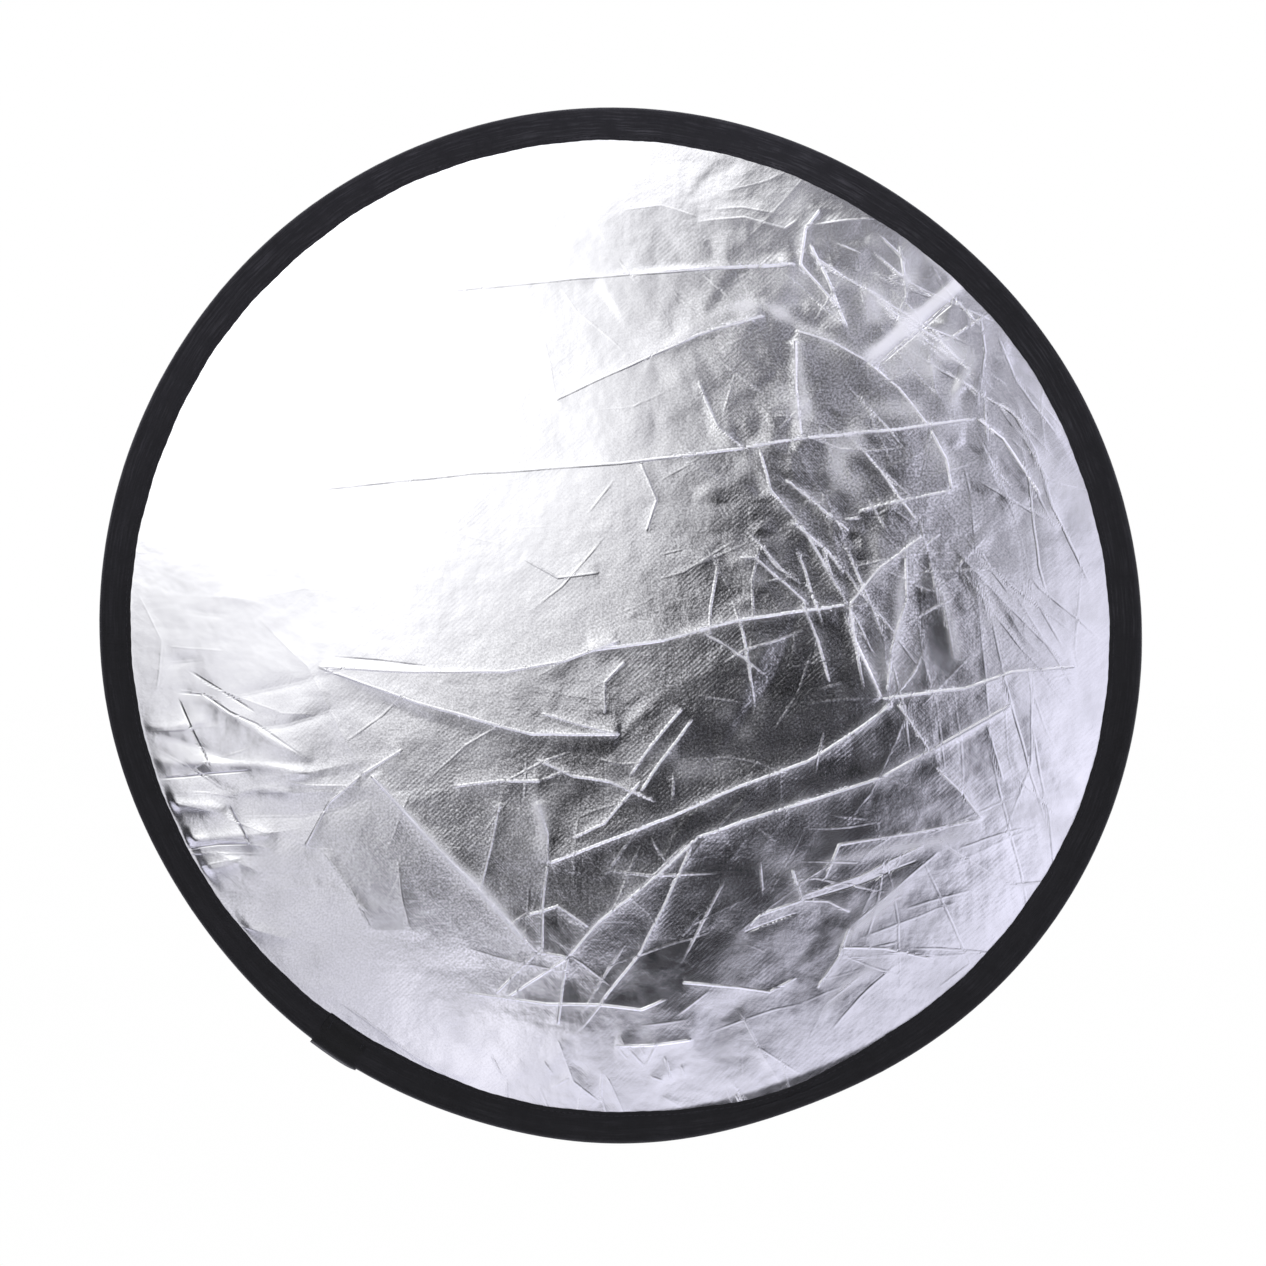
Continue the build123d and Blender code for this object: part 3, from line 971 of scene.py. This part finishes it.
def woven_tape(name, dark, light, sheen):
    """Black nylon tape: ribs across it, faint bright streaks along it that are a painted sheen of its fibres,
    and painted light towards the top of the rim.
    """
    material, nodes, shader = new_material(name)
    place = nodes.add("ShaderNodeUVMap", uv_map="flat").outputs["UV"]
    ribs = stripes(nodes, place, 90, 0.85 * MM, 1.5)
    warp = stripes(nodes, place, 0, 0.55 * MM, 1.0)
    stretched = nodes.add("ShaderNodeMapping", {"Vector": place, "Scale": (40.0, 900.0, 1.0)}).outputs[0]
    fibres = nodes.noise(stretched, 1.0, 3.0, 0.6)
    dust_and_sheen = nodes.noise(place, 60.0, 4.0, 0.6)
    # painted sheen: the colour turns lighter along the streaks of the fibres, where the noise over them lets
    # it show
    share = nodes.math("MULTIPLY", nodes.range(fibres, 0.45, 0.8), nodes.range(dust_and_sheen, 0.35, 0.75))
    colour = nodes.blend(share, dark, light)
    faded = nodes.range(nodes.noise(place, 5.0, 2.0), 0.35, 0.65, 0.80, 1.25)
    colour = nodes.blend(1.0, colour, faded, "MULTIPLY")
    # painted light: the colour is painted up to 2.3 times lighter towards the top of the rim, and 0.65 times
    # as light over the lower half, as the studio's light falls
    around = nodes.add("ShaderNodeSeparateXYZ", {"Vector": place}).outputs["X"]
    from_top = nodes.math("COSINE", nodes.math("MULTIPLY_ADD", around, 1 / RADIUS, -math.radians(88)))
    painted_top_light = nodes.range(from_top, -0.1, 1.0, 0.65, 2.3)
    colour = nodes.blend(1.0, colour, painted_top_light, "MULTIPLY")
    woven = nodes.math("ADD", nodes.math("MULTIPLY", ribs, 0.7), nodes.math("MULTIPLY", warp, 0.4))
    bumped = nodes.bump(woven, 0.10 * MM)
    bumped = nodes.bump(fibres, 0.06 * MM, 1.0, bumped)
    dull = nodes.range(dust_and_sheen, 0.3, 0.8, 0.32, 0.46)
    connect(nodes, shader, Base_Color=colour, Roughness=dull, Normal=bumped, Sheen_Weight=sheen,
            Sheen_Roughness=0.45, Specular_IOR_Level=0.22)
    return material


def thread_material():
    material, nodes, shader = new_material("black_polyester_thread")
    place = flat_place(nodes)
    twist = stripes(nodes, place, 25, 0.4 * MM)
    strands = nodes.noise(place, 2600.0, 2.0)
    colour = nodes.blend(strands, (0.005, 0.005, 0.006, 1), (0.018, 0.018, 0.021, 1))
    bumped = nodes.bump(twist, 0.07 * MM)
    connect(nodes, shader, Base_Color=colour, Roughness=0.5, Normal=bumped, Sheen_Weight=0.04,
            Specular_IOR_Level=0.25)
    return material


def steel(name, base, brushed):
    material, nodes, shader = new_material(name)
    place = nodes.add("ShaderNodeUVMap", uv_map="flat").outputs["UV"]
    stretched = nodes.add("ShaderNodeMapping", {"Vector": place, "Scale": (25.0, 2500.0, 1.0)}).outputs[0]
    drawn = nodes.noise(stretched, 1.0, 3.0, 0.6)
    colour = nodes.blend(nodes.noise(place, 90.0, 3.0), base, [c * 0.75 for c in base[:3]] + [1])
    dull = nodes.range(drawn, 0.3, 0.7, brushed, brushed + 0.15)
    bumped = nodes.bump(drawn, 0.01 * MM)
    connect(nodes, shader, Base_Color=colour, Metallic=1.0, Roughness=dull, Normal=bumped)
    return material


# ---- the studio

# where the middle of the big soft light is: (right, up)
KEY_AT = (-0.218, 0.188)
# how the light falls away from its middle: (angle in radians, brightness, tint)
KEY_RINGS = [
    (0.00, 1.60, (1.0, 1.0, 1.0)),
    (0.14, 1.50, (1.0, 1.0, 1.0)),
    (0.19, 1.20, (1.0, 1.0, 1.01)),
    (0.23, 0.94, (1.0, 1.0, 1.02)),
    (0.28, 0.72, (1.0, 0.99, 1.03)),
    (0.308, 0.42, (1.0, 0.99, 1.04)),
    (0.330, 0.008, (1.0, 0.99, 1.08)),
    (0.485, 0.008, (1.0, 0.99, 1.10)),
    (0.56, 0.92, (1.0, 0.99, 1.15)),
    (0.90, 0.94, (1.0, 0.99, 1.15)),
    (1.00, 1.00, (1.0, 0.99, 1.12)),
]
# other places that the disc mirrors: (right, up, inner angle, outer angle, colour, share)
EXTRA_LOBES = [
    # pale walls that the outer parts of the disc see
    (-0.180, -0.270, 0.04, 0.15, (0.84, 0.835, 0.94), 0.75),
    (-0.280, -0.130, 0.03, 0.12, (1.10, 1.095, 1.15), 0.65),
    (0.225, 0.150, 0.02, 0.13, (0.76, 0.755, 0.85), 0.62),
    (0.280, 0.230, 0.02, 0.10, (0.95, 0.94, 1.06), 0.60),
    (-0.270, -0.210, 0.02, 0.11, (1.15, 1.14, 1.22), 0.60),
    (0.165, 0.264, 0.03, 0.11, (0.70, 0.695, 0.77), 0.40),
    (-0.020, 0.290, 0.04, 0.13, (1.20, 1.20, 1.22), 0.55),
    (0.315, 0.020, 0.04, 0.14, (0.90, 0.89, 1.02), 0.85),
    (0.190, -0.260, 0.02, 0.10, (0.92, 0.91, 1.03), 0.55),
    (0.010, -0.345, 0.03, 0.11, (0.97, 0.96, 1.08), 0.80),
    (0.080, -0.250, 0.01, 0.08, (0.55, 0.545, 0.62), 0.40),
    (0.080, -0.090, 0.01, 0.07, (0.30, 0.297, 0.33), 0.35),
    (0.320, -0.260, 0.02, 0.10, (0.72, 0.715, 0.80), 0.45),
    (-0.130, -0.280, 0.02, 0.10, (1.30, 1.28, 1.38), 0.60),
    # dark gaps between them
    (-0.105, -0.140, 0.02, 0.11, (0.10, 0.10, 0.10), 0.45),
    (0.100, -0.015, 0.02, 0.11, (0.01, 0.01, 0.01), 0.85),
    (-0.300, -0.430, 0.04, 0.15, (0.05, 0.05, 0.06), 0.25),
    # a second soft light above, which the upward sides of the folds catch
    (0.020, 0.480, 0.10, 0.22, (1.90, 1.90, 1.92), 0.85),
]
# soft lights behind the disc, for its gold side: (right, up, inner angle, outer angle, brightness)
BACK_LIGHTS = [
    (0.00, 0.00, 0.20, 0.80, 0.75),
    (0.85, 0.05, 0.06, 0.42, 2.60),
    (-0.55, 0.45, 0.06, 0.50, 2.20),
    (0.10, -0.20, 0.02, 0.26, 0.10),
]


def direction(right, up, forward=-1.0):
    return Vector((right, forward, up)).normalized()


def studio_world():
    """What the foil sees: a big soft light at the upper left, dark round it, and pale walls beyond."""
    world = bpy.data.worlds.new("studio")
    world.use_nodes = True
    nodes = Nodes(world.node_tree)
    back = world.node_tree.nodes["Background"]
    look = nodes.add("ShaderNodeTexCoord").outputs["Generated"]

    def away(from_direction):
        dot = nodes.add("ShaderNodeVectorMath", {0: look}, operation="DOT_PRODUCT")
        dot.inputs[1].default_value = from_direction
        return nodes.math("ARCCOSINE", nodes.math("MINIMUM", dot.outputs["Value"], 1.0))

    def ramp(value, stops):
        made = nodes.add("ShaderNodeValToRGB", {"Fac": value})
        made.color_ramp.interpolation = "LINEAR"
        points = made.color_ramp.elements
        while len(points) < len(stops):
            points.new(1.0)
        for point, (place, colour) in zip(points, stops):
            point.position = place
            point.color = (*colour, 1)
        return made.outputs["Color"]

    rings = [(place, [c * level for c in tint]) for place, level, tint in KEY_RINGS]
    light = ramp(away(direction(*KEY_AT)), rings)
    for right, up, inner, outer, colour, share in EXTRA_LOBES:
        lobe = nodes.range(away(direction(right, up)), outer, inner, 0.0, share, "SMOOTHSTEP")
        light = nodes.blend(lobe, light, (*colour, 1))
    # seen from the side, the disc mirrors a room of lighter and darker places
    room = nodes.range(nodes.noise(look, 2.1, 1.0, 0.4), 0.38, 0.62, 0.16, 1.65, "SMOOTHSTEP")
    beyond = nodes.range(away(direction(*KEY_AT)), 0.62, 0.90)
    light = nodes.blend(beyond, light, nodes.blend(1.0, light, room, "MULTIPLY"))
    for right, up, inner, outer, brightness in BACK_LIGHTS:
        glow = nodes.range(away(direction(right, up, 1.0)), outer, inner, 0.0, 1.0, "SMOOTHSTEP")
        light = nodes.blend(glow, light, (brightness, brightness, brightness * 1.02, 1))
    clutter = nodes.range(nodes.noise(look, 9.0, 2.0, 0.55), 0.30, 0.70, 0.80, 1.14)
    light = nodes.blend(1.0, light, clutter, "MULTIPLY")
    # a cluttered corner of the room, which the crumpled upper right mirrors
    corner = nodes.range(away(direction(0.19, 0.21)), 0.20, 0.07)
    odds = nodes.range(nodes.noise(look, 26.0, 2.0, 0.6), 0.40, 0.62, 0.25, 1.40)
    light = nodes.blend(corner, light, nodes.blend(1.0, light, odds, "MULTIPLY"))
    seen = nodes.add("ShaderNodeLightPath").outputs["Is Camera Ray"]
    shown = nodes.blend(seen, light, (1, 1, 1, 1))
    world.node_tree.links.new(shown, back.inputs["Color"])
    bpy.context.scene.world = world


def stage_surface(name, points, faces, brightness):
    mesh = bpy.data.meshes.new(name)
    mesh.from_pydata(points, [], faces)
    material, nodes, shader = new_material(name)
    grain = nodes.noise(nodes.add("ShaderNodeTexCoord").outputs["Object"], 3.0)
    glow = nodes.blend(grain, (brightness,) * 3 + (1,), (brightness * 0.995,) * 3 + (1,))
    connect(nodes, shader, Base_Color=(0, 0, 0, 1), Roughness=1.0, Specular_IOR_Level=0.0,
            Emission_Color=glow, Emission_Strength=1.0)
    mesh.materials.append(material)
    surface = bpy.data.objects.new(name, mesh)
    bpy.context.scene.collection.objects.link(surface)
    for way in ("glossy", "diffuse", "transmission", "shadow"):
        setattr(surface, f"visible_{way}", False)


def studio_floor():
    """A plain pale floor that runs out far below and behind the disc."""
    size = 14.0
    level = -0.46
    corners = [(-size, -size, level), (size, -size, level), (size, size, level), (-size, size, level)]
    stage_surface("floor", corners, [(0, 1, 2, 3)], 1.0)


def look_with_camera():
    camera = bpy.data.cameras.new("camera")
    camera.lens = 63.8
    camera.sensor_width = 36.0
    camera.clip_start = 0.05
    holder = bpy.data.objects.new("camera", camera)
    holder.location = (0.0075, -1.3, -0.0046)
    holder.rotation_euler = (math.radians(90), 0, 0)
    bpy.context.scene.collection.objects.link(holder)
    bpy.context.scene.camera = holder
    bpy.context.scene.view_settings.view_transform = "Standard"


# ---- the disc

silver = foil_fabric("silver_foil", (0.93, 0.93, 0.955, 1), (0.88, 0.88, 0.91, 1), (0.99, 0.99, 1.0, 1),
                     0.12, 0.014)
gold = foil_fabric("gold_foil", (0.93, 0.66, 0.25, 1), (0.87, 0.58, 0.19, 1), (0.96, 0.80, 0.48, 1),
                   0.14, 0.02)
tape = woven_tape("black_binding_tape", (0.0060, 0.0058, 0.0068, 1), (0.040, 0.039, 0.043, 1), 0.05)
lap_tape = woven_tape("black_lapped_tape", (0.0040, 0.0040, 0.0040, 1), (0.020, 0.020, 0.020, 1), 0.02)
thread = thread_material()

fine, broad, marks = creased_fabric()
front = sheet_surface(fine, broad) + FABRIC_LIFT
fabric_panels("silver_face", front, marks, True, silver)
behind = softened(front, 2) - 2 * FABRIC_LIFT
softer_marks = dict(marks, wear=marks["wear"] * 0.4, fold_wear_and_shade=marks["fold_wear_and_shade"] * 0.5)
fabric_panels("back_face", behind, softer_marks, False, gold)

ring_panels("edge_binding", binding_profile, BINDING_STEPS, tape)
ring_panels("spring_band", band_profile, BAND_STEPS,
            steel("blued_spring_steel", (0.30, 0.32, 0.36, 1), 0.25))
stitching("front_stitching", True, thread)
stitching("back_stitching", False, thread)
sleeve("binding_overlap", OVERLAP_LENGTH / 2, OVERLAP_STEPS,
       lap_profile(0.62, -1.6, 1.9), lap_profile(0.04, -1.5, 1.0),
       lap_tape, "binding_overlap")
sleeve("band_ferrule", FERRULE_LENGTH / 2, FERRULE_STEPS, ferrule_profile(0.42), ferrule_profile(0.02),
       steel("ferrule_steel", (0.55, 0.55, 0.54, 1), 0.3), "band_ferrule")
bartack(thread)

studio_world()
studio_floor()
look_with_camera()
